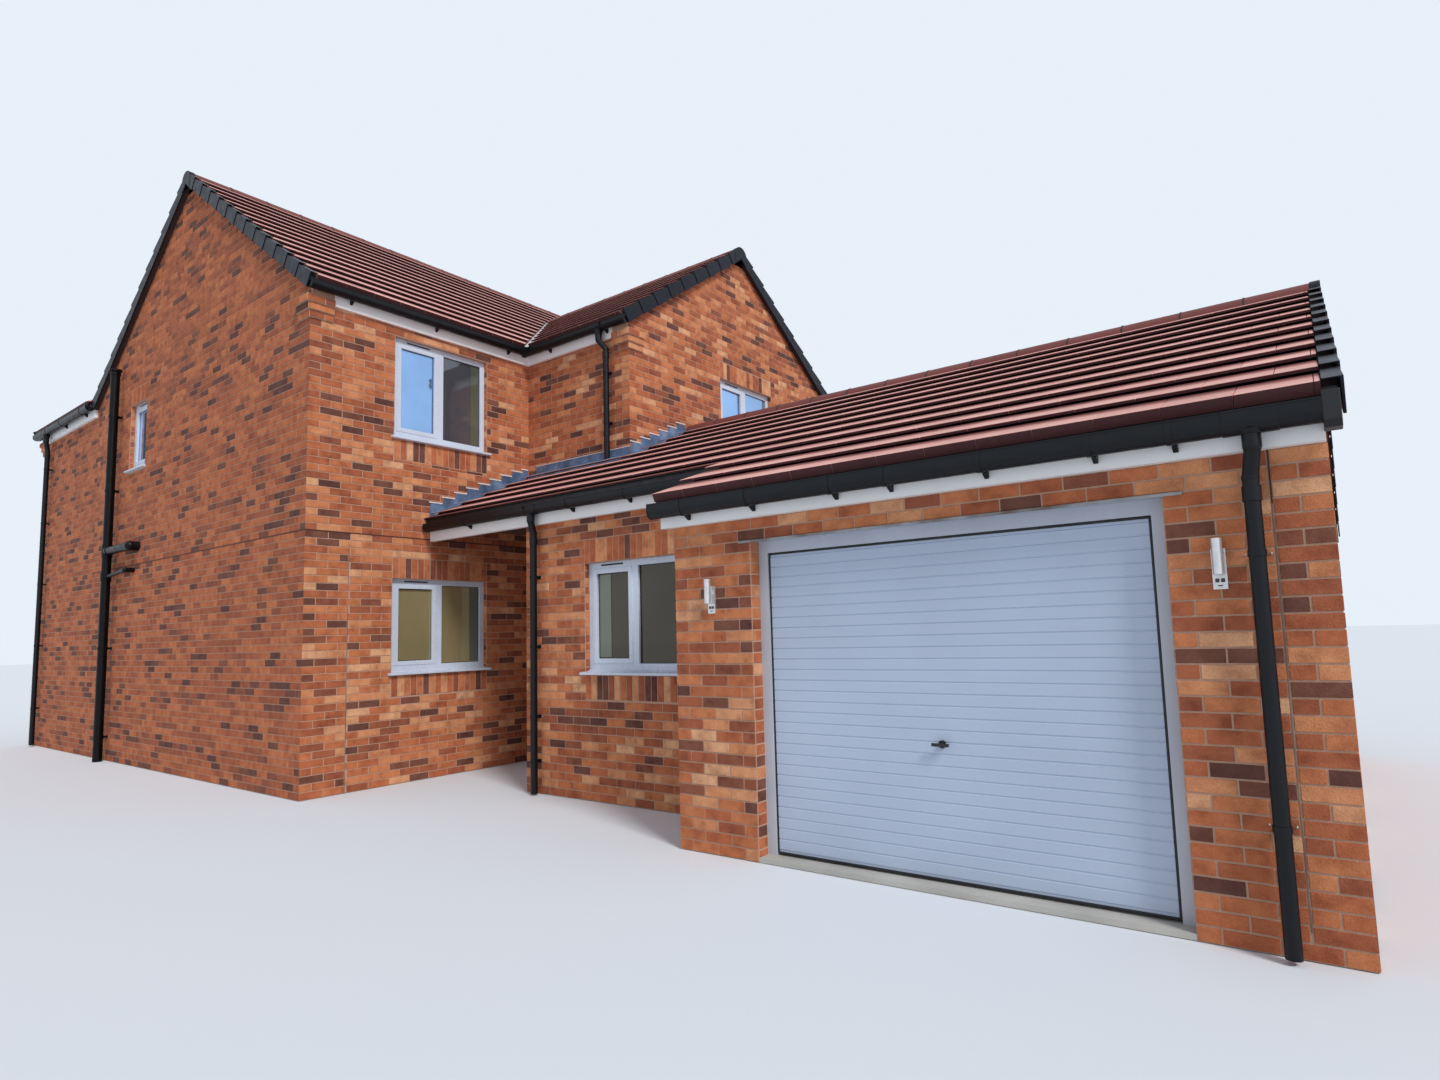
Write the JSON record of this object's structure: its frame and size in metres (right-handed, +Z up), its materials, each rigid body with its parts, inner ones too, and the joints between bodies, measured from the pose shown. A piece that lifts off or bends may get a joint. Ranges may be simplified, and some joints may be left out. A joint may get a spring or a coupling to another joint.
{
  "type": "detached house with attached garage",
  "caption": "Detached brick house with gabled tiled roofs, a porch recess and an attached garage whose ribbed up-and-over door opens on tracks.",
  "frame": {"origin": "middle of the whole footprint at ground level", "axes": "+X to the right along the garage front, +Y from the front to the rear, +Z up"},
  "size_m": [17.587, 7.4608, 7.5614],
  "materials": {
    "brickwork": "wire-cut facing brick in pale mortar",
    "screed": "floated screed",
    "floor_boards": "plain boards",
    "roof_tiles": "dark brown-red interlocking tiles, matt",
    "ridge_tiles": "matt",
    "black_trim": "black, slightly glossy",
    "lead": "weathered blue-grey lead",
    "fascia": "white boards",
    "window_frames": "white plastic, sky lit",
    "window_glass": "clear double glazing",
    "door_panel": "plain pale door",
    "garage_door_paint": "pale satin paint",
    "galvanised": "galvanised",
    "handle_black": "matt black",
    "lamp_steel": "brushed"
  },
  "bodies": {
    "house": {"front_gable_wall": "brickwork", "side_front_wall": "brickwork", "side_end_wall": "brickwork", "side_back_wall": "brickwork", "main_left_wall": "brickwork", "rear_gable_wall": "brickwork", "cross_back_wall": "brickwork", "window_wall": "brickwork", "entrance_wall": "brickwork", "cross_gable_wall": "brickwork", "hall_wall": "brickwork", "hall_return_wall": "brickwork", "garage_return_wall": "brickwork", "garage_piers": "brickwork", "garage_head_wall": "brickwork", "garage_end_wall": "brickwork", "garage_back_wall": "brickwork", "ground_floor": "screed", "garage_floor": "screed", "upper_floor": "floor_boards", "main_roof": "roof_tiles", "cross_roof": "roof_tiles", "side_roof": "roof_tiles", "garage_roof": "roof_tiles", "ridge_tiles": "ridge_tiles", "verge_caps": "black_trim", "lead_flashing": "lead", "house_fascia": "fascia", "garage_fascia": "fascia", "porch_soffit": "fascia", "house_gutters": "black_trim", "garage_gutters": "black_trim", "downpipes": "black_trim", "soil_pipe": "black_trim", "upper_window": "window_frames", "lower_window": "window_frames", "hall_window": "window_frames", "small_gable_window": "window_frames", "cross_gable_window": "window_frames", "rear_windows": "window_frames", "upper_glass": "window_glass", "lower_glass": "window_glass", "front_door": "door_panel", "garage_lintel": "fascia", "garage_door_frame": "garage_door_paint", "door_tracks": "galvanised", "wall_lights": "lamp_steel"},
    "door_carriage": {"door_carriage": "galvanised"},
    "garage_leaf": {"garage_door_leaf": "garage_door_paint", "door_handle": "handle_black"}
  },
  "joints": [
    {"name": "carriage_slide", "type": "slide", "parent": "house", "child": "door_carriage", "axis": [0, 1, 0], "range_m": [0, 1.805]},
    {"name": "leaf_hinge", "type": "hinge", "parent": "door_carriage", "child": "garage_leaf", "pos_m": [6.805, -2.785, 1.922], "axis": [-1, 0, 0], "range_deg": [0, 90]}
  ],
  "couplings": [
    {"joint": "carriage_slide", "follows": "leaf_hinge", "m_per_rad": 1.1459}
  ]
}
